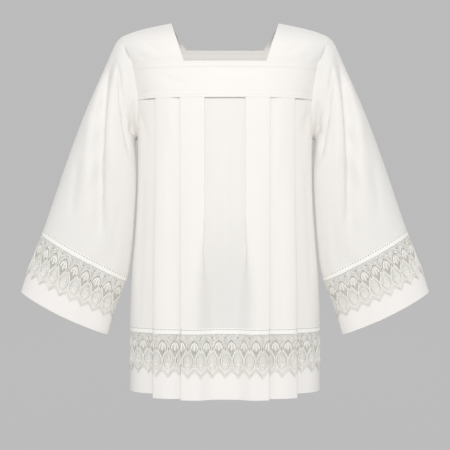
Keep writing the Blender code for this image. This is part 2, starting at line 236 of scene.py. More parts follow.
# Pleats of half a skirt, from the centre out: where the fold shows at the yoke and at the hem, how far the
# cloth runs back under it, and the spaces between its three layers at the hem
Pleat = namedtuple("Pleat", "edge_top edge_hem lap near_hem far_hem")
CENTRE_PLEAT = Pleat(0.0445, 0.0435, 0.012, 0.0030, 0.0045)
KNIFE_PLEATS = (
    Pleat(0.1005, 0.0975, 0.034, 0.0034, 0.0080),
    Pleat(0.1600, 0.1650, 0.042, 0.0036, 0.0190),
)
LAYER_AT_YOKE = 0.0028
LAYER_EASE = (0.9, 0.65)
CENTRE_OPENS_FROM = -0.42
CENTRE_OPEN_AT = -0.66
CENTRE_VALLEY = 0.019
CENTRE_VALLEY_REACH = 0.020


def knife_pleat(pleat, share):
    """Distances and depths of one knife pleat's layers, in the cloth's order from the centre out."""
    edge = between(pleat.edge_top, pleat.edge_hem, share)
    near = between(LAYER_AT_YOKE, pleat.near_hem, share)
    far = between(LAYER_AT_YOKE, pleat.far_hem, share)
    turn, hidden = edge - near / 2, edge - pleat.lap + far / 2
    half = (turn + hidden) / 2
    level = edge * 0
    rows = [(hidden, level), (half, level), (turn, level), (edge, near / 2)]
    rows += [(turn, near), (half, near), (hidden, near), (edge - pleat.lap, near + far / 2)]
    rows.append((hidden, near + far))
    rows += [(place, near + far * ease) for place, ease in zip((half, edge), LAYER_EASE)]
    return rows


def centre_pleat(pleat, z, share):
    """Half the inverted pleat, flat at the yoke and opened to one side of a valley lower down."""
    edge = between(pleat.edge_top, pleat.edge_hem, share)
    near = between(LAYER_AT_YOKE, pleat.near_hem, share)
    far = between(LAYER_AT_YOKE, pleat.far_hem, share)
    turn, hidden = edge + near / 2, edge + pleat.lap - far / 2
    folded = [(hidden, near + far), (edge + pleat.lap, near + far / 2), (hidden, near)]
    folded += [(turn, near), (edge, near / 2), (turn, near * 0)]
    opened = smooth((CENTRE_OPENS_FROM - z) / (CENTRE_OPENS_FROM - CENTRE_OPEN_AT))
    valley = between(near + far, CENTRE_VALLEY, opened)
    rows = [(edge * 0, valley), (edge * 0.3, valley)]
    for index, (distance, depth) in enumerate(folded):
        step = index / (len(folded) - 1)
        open_distance = edge + (2 * step - 1) * CENTRE_VALLEY_REACH
        open_depth = CENTRE_VALLEY * (1 - smooth(step))
        rows.append((between(distance, open_distance, opened), between(depth, open_depth, opened)))
    return rows


def cut_corners(values):
    """A line of values with each corner cut, twice as many and rounder."""
    first = values[..., :-1] * 0.75 + values[..., 1:] * 0.25
    second = values[..., :-1] * 0.25 + values[..., 1:] * 0.75
    middle = np.stack([first, second], axis=-1).reshape(*values.shape[:-1], -1)
    return np.concatenate([values[..., :1], middle, values[..., -1:]], axis=-1)


# How far before or behind the side seam the armhole's edge runs, at each height of the yokes
Edge = namedtuple("Edge", "z front back")
ARMHOLE_EDGE = (Edge(-0.178, 0.054, 0.054), Edge(-0.098, 0.060, 0.056), Edge(-0.060, 0.060, 0.050))
SIDE_COLUMNS = (0.18, 0.36, 0.54, 0.68, 0.80, 0.90, 0.97, 1.0)
SIDE_LEVEL_FROM = 0.55
CORNER_CUTS = 2


def armhole_distance(z, side):
    """Distance round the garment from its centre line to the armhole's edge, beside a yoke."""
    edge = along(ARMHOLE_EDGE, "front" if side == FRONT else "back", [row.z for row in ARMHOLE_EDGE], z)
    seam = seam_distance(z, side)
    shares = np.linspace(0.5, 1, 400)
    y = np.abs(on_body(z, shares * seam, 0.0, side)[..., 1])
    return float(np.interp(-edge, -y, shares) * seam)


def pleated_line(z, side):
    """Distances and depths of half a skirt at heights z, from the centre line to the side seam."""
    z = np.asarray(z, float)
    share = np.clip((YOKE_BOTTOM - z) / (YOKE_BOTTOM - HEM_BOTTOM), 0, 1)
    rows = centre_pleat(CENTRE_PLEAT, z, share)
    for pleat in KNIFE_PLEATS:
        rows += knife_pleat(pleat, share)
    edge, depth = rows[-1]
    seam = seam_distance(z, side)
    for place in SIDE_COLUMNS:
        rows.append((between(edge, seam, place), depth * (1 - smooth(place / SIDE_LEVEL_FROM))))
    distances = np.stack([row[0] + 0 * z for row in rows], axis=-1)
    depths = np.stack([row[1] + 0 * z for row in rows], axis=-1)
    for _ in range(CORNER_CUTS):
        distances, depths = cut_corners(distances), cut_corners(depths)
    return distances, depths


# Each panel out from the middle hangs higher at its foot than the one before: the share of the way to the
# side seam where it starts, and by how much
HEM_RISES = ((0.34, 0.0022), (0.66, 0.0075))
HEM_RISE_WITHIN = 0.06


def pleated_points(z, side):
    """Points of a lace or a hem at heights z, from the wearer's right seam to the left, one row a height."""
    distances, depths = pleated_line(z, side)
    distances = np.concatenate([-distances[..., :0:-1], distances], axis=-1)
    depths = np.concatenate([depths[..., :0:-1], depths], axis=-1)
    heights = np.asarray(z)[..., None]
    under_way = smooth((SKIRT_BOTTOM - heights) / (SKIRT_BOTTOM - HEM_BOTTOM))
    middle = distances.shape[-1] // 2
    out = np.abs(np.arange(distances.shape[-1]) - middle) / middle
    rise = sum(step * smooth((out - share) / HEM_RISE_WITHIN) for share, step in HEM_RISES)
    points = on_body(heights, distances, depths, side)
    points[..., 2] += rise * under_way
    return points


def skirt_points(side):
    """Points of a skirt, whose upper edge drops round the armholes."""
    columns = pleated_line(np.array([YOKE_BOTTOM]), side)[0][0]
    corner, seam = armhole_distance(YOKE_BOTTOM, side), seam_distance(YOKE_BOTTOM, side)
    past = np.clip((seam - columns) / (seam - corner), 0, 1)
    tops = YOKE_BOTTOM - (YOKE_BOTTOM - UNDERARM) * np.sqrt(1 - past**2)
    tops[columns <= corner] = YOKE_BOTTOM
    shares = np.linspace(0, 1, SKIRT_ROWS)
    half = []
    for index, top in enumerate(tops):
        z = between(top, SKIRT_BOTTOM, shares)
        distances, depths = pleated_line(z, side)
        half.append(on_body(z, distances[:, index], depths[:, index], side))
    half = np.stack(half, axis=1)
    return np.concatenate([half[:, :0:-1] * (-1, 1, 1), half], axis=1)


def surface_normals(grid, wrapped=False):
    """Unit normals of a grid of points, whose columns go round a tube where it is wrapped."""
    if wrapped:
        across = np.roll(grid, -1, axis=1) - np.roll(grid, 1, axis=1)
    else:
        across = np.gradient(grid, axis=1)
    normals = np.cross(np.gradient(grid, axis=0), across)
    return normals / np.maximum(np.linalg.norm(normals, axis=2, keepdims=True), 1e-12)


# A crease is a soft trough, or a ridge where its depth is below 0, through some places (x, z) on the front or
# the back of the garment. Width is half its width. It fades out over a share of its length at both ends.
Crease = namedtuple("Crease", "side width depth places")
CREASE_FADE = 0.25
CREASE_END = 0.05
CREASE_FACING = 0.3
FAR_AWAY = 9.0


def creased(grid, away, creases):
    """The grid with its creases pressed in against the directions away from the wearer."""
    pressed = grid.copy()
    for crease in creases:
        places = np.array(crease.places)
        ways = np.diff(places, axis=0)
        lengths = np.linalg.norm(ways, axis=1)
        total = lengths.sum()
        run_before = np.concatenate([[0], np.cumsum(lengths)])
        nearest = np.full(grid.shape[:2], FAR_AWAY)
        run = np.zeros(grid.shape[:2])
        for start, way, length, before in zip(places, ways, lengths, run_before):
            offset = grid[..., [0, 2]] - start
            share = np.clip(offset @ way / length**2, 0, 1)
            gap = np.linalg.norm(offset - share[..., None] * way, axis=-1)
            closer = gap < nearest
            nearest = np.where(closer, gap, nearest)
            run = np.where(closer, before + share * length, run)
        ends = smooth(run / total / CREASE_FADE + CREASE_END)
        ends *= smooth((1 - run / total) / CREASE_FADE + CREASE_END)
        facing = smooth(crease.side * away[..., 1] / CREASE_FACING)
        amount = crease.depth * np.exp(-((nearest / crease.width) ** 2)) * ends * facing
        pressed -= away * amount[..., None]
    return pressed


MEAN_HALF_WIDTH, MEAN_REACH = 0.21, 0.135


def away_from_body(grid):
    """Level directions straight out of the garment's rounded oblong."""
    x, y = grid[..., 0] / MEAN_HALF_WIDTH, grid[..., 1] / MEAN_REACH
    power = OUTLINE_POWER - 1
    way_x = np.sign(x) * np.abs(x) ** power / MEAN_HALF_WIDTH
    way_y = np.sign(y) * np.abs(y) ** power / MEAN_REACH
    way = np.stack([way_x, way_y, 0 * x], axis=-1)
    return way / np.maximum(np.linalg.norm(way, axis=-1, keepdims=True), 1e-9)


BODY_CREASES = (
    Crease(FRONT, 0.011, 0.0020, ((0.020, -0.250), (0.026, -0.450), (0.024, -0.640))),
    Crease(FRONT, 0.012, 0.0018, ((-0.026, -0.330), (-0.021, -0.520), (-0.024, -0.790))),
    Crease(FRONT, 0.014, -0.0022, ((0.001, -0.260), (0.000, -0.480), (0.004, -0.720))),
    Crease(FRONT, 0.012, -0.0018, ((0.073, -0.330), (0.077, -0.540), (0.074, -0.820))),
    Crease(FRONT, 0.012, -0.0015, ((-0.070, -0.260), (-0.075, -0.480), (-0.071, -0.740))),
    Crease(FRONT, 0.010, 0.0018, ((0.128, -0.250), (0.121, -0.460), (0.126, -0.790))),
    Crease(FRONT, 0.010, 0.0022, ((-0.123, -0.215), (-0.119, -0.430), (-0.125, -0.700))),
    Crease(FRONT, 0.009, -0.0014, ((0.146, -0.330), (0.150, -0.560), (0.147, -0.830))),
    Crease(FRONT, 0.009, -0.0012, ((-0.147, -0.290), (-0.151, -0.520), (-0.146, -0.780))),
    Crease(FRONT, 0.006, 0.0034, ((0.190, -0.197), (0.182, -0.225), (0.172, -0.262))),
    Crease(FRONT, 0.006, 0.0030, ((-0.191, -0.200), (-0.184, -0.232), (-0.173, -0.276))),
    Crease(FRONT, 0.008, 0.0026, ((0.182, -0.290), (0.186, -0.420), (0.193, -0.640))),
    Crease(FRONT, 0.008, 0.0023, ((-0.181, -0.310), (-0.186, -0.470), (-0.192, -0.690))),
    Crease(BACK, 0.012, 0.0019, ((0.013, -0.260), (0.019, -0.430), (0.016, -0.640))),
    Crease(BACK, 0.012, 0.0017, ((-0.028, -0.330), (-0.024, -0.520), (-0.027, -0.800))),
    Crease(BACK, 0.012, -0.0018, ((0.076, -0.300), (0.079, -0.480), (0.075, -0.760))),
    Crease(BACK, 0.012, -0.0016, ((-0.072, -0.240), (-0.077, -0.430), (-0.073, -0.700))),
    Crease(BACK, 0.010, 0.0020, ((0.126, -0.240), (0.120, -0.450), (0.125, -0.720))),
    Crease(BACK, 0.010, 0.0018, ((-0.126, -0.280), (-0.121, -0.500), (-0.124, -0.810))),
    Crease(BACK, 0.008, 0.0022, ((0.183, -0.260), (0.187, -0.400), (0.192, -0.600))),
    Crease(BACK, 0.008, 0.0024, ((-0.181, -0.300), (-0.186, -0.460), (-0.190, -0.660))),
)


class Strand:
    """A socket of a material's nodes. Arithmetic on it adds Math nodes."""

    def __init__(self, socket):
        self.socket = socket

    def node(self, kind, settings, sockets, output=0):
        """Adds a node of a kind, with its settings first and then its sockets' values or links."""
        made = self.socket.id_data.nodes.new(kind)
        for name, value in settings.items():
            setattr(made, name, value)
        for place, value in sockets.items():
            if isinstance(value, Strand):
                self.socket.id_data.links.new(value.socket, made.inputs[place])
            else:
                made.inputs[place].default_value = value
        return Strand(made.outputs[output])

    def maths(self, operation, *values):
        return self.node("ShaderNodeMath", {"operation": operation}, dict(enumerate(values)))

    def sine(self):
        return self.maths("SINE", self)

    def __add__(self, other):
        return self.maths("ADD", self, other)

    def __radd__(self, other):
        return self.maths("ADD", other, self)

    def __mul__(self, other):
        return self.maths("MULTIPLY", self, other)

    def __rmul__(self, other):
        return self.maths("MULTIPLY", other, self)


def blend(factor, start, end):
    """A colour between two colours, by a strand of shares."""
    ends = {"Factor": factor, 6: start, 7: end}
    return factor.node("ShaderNodeMix", {"data_type": "RGBA"}, ends, 2)


def blank_material(name, roughness, sheen, coordinates):
    """A material, its shader node, and a strand of its coordinates, where UV is metres of cloth."""
    material = bpy.data.materials.new(name)
    material.use_nodes = True
    shader = material.node_tree.nodes["Principled BSDF"]
    shader.inputs["Roughness"].default_value = roughness
    shader.inputs["Sheen Weight"].default_value = sheen
    shader.inputs["Sheen Roughness"].default_value = 0.5
    shader.inputs["Specular IOR Level"].default_value = 0.25
    source = material.node_tree.nodes.new("ShaderNodeTexCoord")
    return material, shader, Strand(source.outputs[coordinates])


# Painted shade: the cloth's colour where it hangs in one thin layer, with nothing white behind it and the
# shaded inside of the garment showing through
THIN_CLOTH_IN_SHADE = (0.760, 0.748, 0.716)

# Pitch of the weave's threads, and how finely its slubs change across a thread and along it
THREAD_PITCH = 0.00055
SLUB_ACROSS, SLUB_ALONG = 1400, 90


def cloth_material(name, colour, shade):
    """Plain-weave cloth: crossing threads, uneven slubs, a faint change of tone, painted shade where thin."""
    material, shader, place = blank_material(name, roughness=0.82, sheen=0.25, coordinates="UV")
    across = place.node("ShaderNodeSeparateXYZ", {}, {0: place})
    down = Strand(across.socket.node.outputs[1])
    threads = [(way * (2 * math.pi / THREAD_PITCH)).sine() for way in (across, down)]
    slubs = []
    for scales in ((SLUB_ACROSS, SLUB_ALONG, 1), (SLUB_ALONG, SLUB_ACROSS, 1)):
        drawn = place.node("ShaderNodeVectorMath", {"operation": "MULTIPLY"}, {0: place, 1: scales})
        slubs.append(place.node("ShaderNodeTexNoise", {}, {"Vector": drawn, "Scale": 1.0, "Detail": 2.0}))
    cloud = place.node("ShaderNodeTexNoise", {}, {"Vector": place, "Scale": 14.0, "Detail": 3.0})
    dye_and_shade = blend(slubs[0] * 0.35 + slubs[1] * 0.35 + cloud * 0.30, (*shade, 1), (*colour, 1))
    # Painted shade: an attribute blends the dyed colour towards the shaded thin-cloth colour
    thin_and_shaded = place.node("ShaderNodeAttribute", {"attribute_name": "thin_and_shaded"}, {}, 2)
    dye_and_shade = blend(thin_and_shaded, dye_and_shade, (*THIN_CLOTH_IN_SHADE, 1))
    height = threads[0] * threads[1] * 0.4 + slubs[0] + slubs[1]
    bump = place.node("ShaderNodeBump", {}, {"Strength": 0.25, "Distance": 0.00025, "Height": height})
    material.node_tree.links.new(dye_and_shade.socket, shader.inputs["Base Color"])
    material.node_tree.links.new(bump.socket, shader.inputs["Normal"])
    return material


ivory = cloth_material("ivory_plain_weave", (0.950, 0.925, 0.895), (0.900, 0.875, 0.840))


def cloth_length(line):
    """Distances along a line of points."""
    return np.concatenate([[0], np.cumsum(np.linalg.norm(np.diff(line, axis=0), axis=1))])


def fitted(name, mesh, slot, *nodes):
    """A mesh as a piece that rides on the garment, in place of its solids where it has any."""
    thing = bpy.data.objects.new(name, mesh)
    scene.collection.objects.link(thing)
    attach(thing, "root")
    if nodes:
        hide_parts(*nodes)
    return thing


def shell(name, grid, material, thin_and_shaded, node, slot="cloth", wrapped=False):
    """A thin cloth shell on a grid of points, with its cloth coordinates and its painted shade, as a piece.
    """
    rows, columns = grid.shape[:2]
    middle = grid[rows // 2]
    along_cloth = cloth_length(np.concatenate([middle, middle[:1]]) if wrapped else middle)
    down_cloth = cloth_length(grid[:, columns // 2])
    row, column = np.meshgrid(np.arange(rows - 1), np.arange(columns - (not wrapped)), indexing="ij")
    after = (column + 1) % columns
    corners = [row * columns + column, (row + 1) * columns + column]
    corners += [(row + 1) * columns + after, row * columns + after]
    faces = np.stack(corners, axis=-1).reshape(-1, 4)
    mesh = bpy.data.meshes.new(name)
    mesh.from_pydata(grid.reshape(-1, 3).tolist(), [], faces.tolist())
    ends = [(row, column), (row + 1, column), (row + 1, column + 1), (row, column + 1)]
    flat = [np.stack([along_cloth[c], -down_cloth[r]], axis=-1) for r, c in ends]
    uv = mesh.uv_layers.new(name="cloth")
    uv.data.foreach_set("uv", np.stack(flat, axis=2).reshape(-1))
    # How much painted shade each point takes, which the cloth's material reads
    thin = mesh.attributes.new("thin_and_shaded", "FLOAT", "POINT")
    thin.data.foreach_set("value", np.broadcast_to(thin_and_shaded, (rows, columns)).reshape(-1))
    mesh.materials.append(material)
    mesh.shade_smooth()
    thing = fitted(name, mesh, slot, node)
    wall = thing.modifiers.new("cloth", "SOLIDIFY")
    wall.thickness = CLOTH_THICKNESS
    wall.offset = 0
    if not wrapped:
        crisp = thing.modifiers.new("crisp rim", "EDGE_SPLIT")
        crisp.split_angle = math.radians(50)
    return thing


# How much painted shade a skirt takes, from 0 where it is doubled: some at its yoke, where it is one layer,
# more in the valley where its pleat has opened, and a painted shadow beside its outer pleats
THIN_AT_YOKE, VALLEY_THIN_AND_SHADE, SIDE_PLEAT_SHADOW = 0.20, 0.52, 0.05
SIDE_PLEAT_SHADOW_FROM = 0.165
THIN_EDGE_AT_YOKE, THIN_EDGE_OPENED = 0.0445, 0.060
THIN_BLUR_AT_YOKE, THIN_BLUR_OPENED = 0.0015, 0.022
THIN_OPENS_OVER = 0.20


def skirt_thin_and_shade(grid):
    """Painted shade: a thin middle, deeper in the opened pleat's valley, and a shadow beside the outer
    pleats.
    """
    across, z = np.abs(grid[..., 0]), grid[..., 2]
    opened = smooth((CENTRE_OPENS_FROM - z) / THIN_OPENS_OVER)
    blur = between(THIN_BLUR_AT_YOKE, THIN_BLUR_OPENED, opened)
    edge = between(THIN_EDGE_AT_YOKE, THIN_EDGE_OPENED, opened)
    middle = smooth((edge + blur - across) / (2 * blur))
    past = across - SIDE_PLEAT_SHADOW_FROM
    # Painted shadow on the side panel beside each outer pleat's edge, darkest at the edge
    sides = smooth(past / 0.002) * between(1.0, 0.6, smooth(past / 0.02))
    return middle * between(THIN_AT_YOKE, VALLEY_THIN_AND_SHADE, opened) + sides * SIDE_PLEAT_SHADOW


for side, word in ((FRONT, "front"), (BACK, "back")):
    plain = skirt_points(side)
    grid = creased(plain, away_from_body(plain), BODY_CREASES)
    skirt = shell(f"skirt_{word}_cloth", grid, ivory, skirt_thin_and_shade(plain), f"skirt_{word}")

# --- Hem bands ----------------------------------------------------------------------------------------------
# A deep band of the same cloth, turned up double and pleated with the lace above it, finishes each skirt. It
# is sewn under the lace's foot, which hides the seam.
HEM_ROWS = 12
hem_ivory = cloth_material("hem_plain_weave", (0.965, 0.940, 0.912), (0.920, 0.895, 0.862))
for side, word in ((FRONT, "front"), (BACK, "back")):
    grid = pleated_points(np.linspace(HEM_TOP, HEM_BOTTOM, HEM_ROWS), side)
    grid = creased(grid, away_from_body(grid), BODY_CREASES)
    hem = shell(f"hem_{word}_cloth", grid, hem_ivory, 0.0, f"hem_{word}", "hem_cloth")

# --- Yokes --------------------------------------------------------------------------------------------------
# Two square yokes of doubled cloth, front and back. The neckline's turned edge has two rows of topstitching,
# and the seam that holds the skirt's pleats has one.
FRONT_NECKLINE = -0.098
BACK_NECKLINE = -0.047
BACK_YOKE_SLOPE = 0.023
BACK_SLOPE_RUN = 0.13
NECK_HALF_WIDTH = 0.0908
YOKE_MIDDLE = -0.10
YOKE_ROWS = 40
YOKE_COLUMNS = 61
NECK_BAND, SEAM_BAND, BAND_EDGE, BAND_LIFT = 0.0125, 0.0085, 0.002, 0.0007
NECK_STITCHES, SEAM_STITCHES = (0.0035, 0.0115), 0.0065
GROOVE_WIDTH, GROOVE_DEPTH = 0.0010, 0.0006
YOKE_CREASES = (
    Crease(FRONT, 0.010, 0.0012, ((-0.040, -0.112), (0.030, -0.121), (0.090, -0.117))),
    Crease(FRONT, 0.006, 0.0014, ((-0.176, -0.158), (-0.184, -0.170), (-0.189, -0.180))),
    Crease(FRONT, 0.006, 0.0012, ((0.178, -0.155), (0.185, -0.168), (0.190, -0.180))),
    Crease(FRONT, 0.008, 0.0010, ((-0.150, -0.120), (-0.120, -0.140), (-0.080, -0.150))),
    Crease(BACK, 0.012, 0.0012, ((-0.090, -0.090), (-0.010, -0.110), (0.060, -0.096))),
    Crease(BACK, 0.009, 0.0012, ((0.150, -0.110), (0.110, -0.130), (0.080, -0.150))),
)


def band_lift(under_neck, over_seam):
    """How far a yoke's cloth stands out, by distance from its two edges: raised bands with sunk stitches."""
    lift = BAND_LIFT * (1 - smooth((under_neck - NECK_BAND) / BAND_EDGE))
    lift += BAND_LIFT * (1 - smooth((over_seam - SEAM_BAND) / BAND_EDGE))
    gaps = [under_neck - reach for reach in NECK_STITCHES] + [over_seam - SEAM_STITCHES]
    return lift - sum(GROOVE_DEPTH * math.exp(-((gap / GROOVE_WIDTH) ** 2)) for gap in gaps)


def yoke_points(side):
    """Points of a yoke from armhole to armhole, its bands raised and its stitched grooves sunk."""
    grid = []
    for down in np.linspace(0, 1, YOKE_ROWS):
        line = []
        for place in np.linspace(-1, 1, YOKE_COLUMNS):
            past_neck = max(abs(place) * armhole_distance(YOKE_MIDDLE, side) - NECK_HALF_WIDTH, 0)
            top = FRONT_NECKLINE
            if side == BACK:
                top = BACK_NECKLINE - BACK_YOKE_SLOPE * min(past_neck / BACK_SLOPE_RUN, 1)
            z = between(top, YOKE_BOTTOM, down)
            lift = band_lift(top - z, z - YOKE_BOTTOM)
            line.append(on_body(z, place * armhole_distance(z, side), -lift, side))
        grid.append(line)
    return np.array(grid)


# One stitch lies along its row, raised in the middle: how far along each of its four places is, how far it
# stands out, and half its width
STITCH_PITCH = 0.0032
STITCH = ((-0.0013, 0, 0.0002), (-0.0006, 0.0004, 0.0004), (0.0006, 0.0004, 0.0004), (0.0013, 0, 0.0002))
STITCH_AHEAD = 0.0004


def stitch_row(name, line, away, material):
    """A row of short stitches along a line of points, as one joined piece."""
    run = cloth_length(line)
    count = int(run[-1] / STITCH_PITCH)

    def read(table, at):
        return np.array([np.interp(at, run, table[:, axis]) for axis in range(3)])

    points, faces = [], []
    for middle in (np.arange(count) + 0.5) / count * run[-1]:
        first = len(points)
        for at, lift, half in STITCH:
            spot, out = read(line, middle + at), read(away, middle + at)
            cross = np.cross(read(line, middle + at + STITCH_AHEAD) - spot, out)
            cross /= max(np.linalg.norm(cross), 1e-9)
            spot = spot + out * lift
            points += [spot - cross * half, spot + out * half, spot + cross * half]
        for a in range(first, first + 9, 3):
            faces += [(a, a + 3, a + 4, a + 1), (a + 1, a + 4, a + 5, a + 2)]
    mesh = bpy.data.meshes.new(name)
    mesh.from_pydata([tuple(point) for point in points], [], faces)
    mesh.materials.append(material)
    mesh.shade_smooth()
    return fitted(name, mesh, "cloth")


def thread_material():
    """Twisted cotton thread, a touch brighter than the cloth."""
    material, shader, place = blank_material("cotton_thread", 0.7, 0.2, coordinates="Object")
    twist = place.node("ShaderNodeTexNoise", {}, {"Vector": place, "Scale": 900.0, "Detail": 1.0})
    tint = blend(twist, (0.90, 0.87, 0.83, 1), (0.97, 0.95, 0.92, 1))
    material.node_tree.links.new(tint.socket, shader.inputs["Base Color"])
    return material


thread = thread_material()
STITCHES_LIFT = 0.0003
YOKE_HEIGHTS = {FRONT: 0.080, BACK: 0.120}
for side, word in ((FRONT, "front"), (BACK, "back")):
    grid = yoke_points(side)
    away = away_from_body(grid)
    grid = creased(grid, away, YOKE_CREASES)
    yoke = shell(f"yoke_{word}_cloth", grid, ivory, 0.0, f"yoke_{word}")
    height = YOKE_HEIGHTS[side]
    for number, reach in enumerate((*NECK_STITCHES, height - SEAM_STITCHES)):
        row = round(reach / height * (YOKE_ROWS - 1))
        line = grid[row] + away[row] * STITCHES_LIFT
        stitch_row(f"yoke_{word}_stitches_{number}", line, away[row], thread)

# --- Shoulder straps ----------------------------------------------------------------------------------------
# One strap of the same cloth on each shoulder, sewn to both yokes between the neck and the armhole. It lies
# over the shoulder in soft slanting wrinkles.
SHOULDER_NECK_X = 0.122
SHOULDER_POINT_X = 0.235
SHOULDER_POINT_DROP = 0.030
SHOULDER_SLOPE = 0.73
STRAP_ROUND = 1.05
# Painted shade: how far each strap's cloth is blended towards the shaded thin-cloth colour
STRAP_SHADE = 0.12
STRAP_COLUMNS = 25
STRAP_ROWS = 28
STRAP_CREASES = (
    Crease(FRONT, 0.0055, 0.0022, ((-0.184, -0.052), (-0.158, -0.066), (-0.130, -0.079))),
    Crease(FRONT, 0.0050, 0.0018, ((-0.195, -0.082), (-0.182, -0.085), (-0.168, -0.086))),
    Crease(FRONT, 0.0055, 0.0021, ((0.186, -0.050), (0.160, -0.064), (0.134, -0.080))),
    Crease(FRONT, 0.0050, 0.0017, ((0.194, -0.080), (0.180, -0.084), (0.166, -0.088))),
    Crease(BACK, 0.0060, 0.0016, ((0.170, -0.040), (0.150, -0.050), (0.128, -0.054))),
    Crease(BACK, 0.0060, 0.0016, ((-0.172, -0.038), (-0.150, -0.047), (-0.130, -0.052))),
)


def strap_points():
    """Points of the left strap, from the front yoke's seam over the ridge to the back yoke's."""
    shares = np.linspace(0, 1, STRAP_COLUMNS)
    drop = between(shares**4, shares, SHOULDER_SLOPE)
    ridge_x = between(SHOULDER_NECK_X, SHOULDER_POINT_X, shares)
    ridge_z = -SHOULDER_POINT_DROP * drop
    ends = {}
    for side in (FRONT, BACK):
        ends[side] = []
        for share in shares:
            top = FRONT_NECKLINE if side == FRONT else BACK_NECKLINE - BACK_YOKE_SLOPE * share
            distance = between(NECK_HALF_WIDTH, armhole_distance(top, side), share)
            ends[side].append(on_body(top, distance, 0.0, side))
        ends[side] = np.array(ends[side])
    grid = []
    for turned in np.linspace(-1, 1, 2 * STRAP_ROWS + 1) * math.pi / 2:
        end = ends[FRONT] if turned < 0 else ends[BACK]
        reach = math.sin(abs(turned)) ** STRAP_ROUND
        fall = 1 - max(math.cos(turned), 0) ** STRAP_ROUND
        line = [between(ridge_x, end[:, 0], fall), end[:, 1] * reach, between(ridge_z, end[:, 2], fall)]
        grid.append(np.stack(line, axis=-1))
    return np.array(grid)


def outward(grid, wrapped=False):
    """Unit normals of a grid, facing out of the tube of a sleeve, or away from the body."""
    normals = surface_normals(grid, wrapped)
    out = grid - grid.mean(axis=(0, 1)) if wrapped else away_from_body(grid)
    return normals if np.sum(normals * out) > 0 else -normals


left_strap = strap_points()
for hand, word in ((1, "left"), (-1, "right")):
    grid = left_strap * (hand, 1, 1)
    grid = creased(grid, outward(grid), STRAP_CREASES)
    strap = shell(f"shoulder_{word}_cloth", grid, ivory, STRAP_SHADE, f"shoulder_{word}")

# --- Sleeves ------------------------------------------------------------------------------------------------
# Wide bell sleeves set into the armholes, each one piece closed under the arm. They hang nearly flat, with a
# long fold down the front, a narrower one from the shoulder, and small creases at the armhole seam.
# The sleeve's rings from the armhole out: the ends of each, half its depth, how far forward its inner end
# hangs and its middle dips, and where a broad fold runs down its front, from -1 at its inner end to 1
RING_SIZES = "outer_x outer_z inner_x inner_z half_depth forward dip fold_at fold_depth"
Ring = namedtuple("Ring", RING_SIZES)
SLEEVE_RINGS = (
    Ring(0.2480, -0.0440, 0.2033, -0.2655, 0.058, 0.004, 0.000, 0.80, 0.003),
    Ring(0.2660, -0.0830, 0.2036, -0.2760, 0.058, 0.012, 0.000, 0.72, 0.006),
    Ring(0.3075, -0.1775, 0.2012, -0.3150, 0.057, 0.032, 0.000, 0.55, 0.009),
    Ring(0.3300, -0.2330, 0.2000, -0.3600, 0.056, 0.042, 0.000, 0.34, 0.010),
    Ring(0.3600, -0.3140, 0.2030, -0.4250, 0.055, 0.044, 0.000, 0.08, 0.010),
    Ring(0.3880, -0.3960, 0.2090, -0.5030, 0.054, 0.040, 0.002, -0.18, 0.009),
    Ring(0.4130, -0.4680, 0.2195, -0.5730, 0.053, 0.034, 0.003, -0.38, 0.007),
    Ring(0.4440, -0.5478, 0.2483, -0.6463, 0.052, 0.030, 0.004, -0.46, 0.004),
    Ring(0.4645, -0.6095, 0.2650, -0.7050, 0.050, 0.030, 0.005, -0.50, 0.003),
)
LACE_TOP_RING, CUFF_TOP_RING, CUFF_BOTTOM_RING = 7, 8, 9
SLEEVE_TURNS = 160
RING_FULLNESS, INNER_SHARPNESS, FOLD_WIDTH = 1.12, 0.2, 0.2
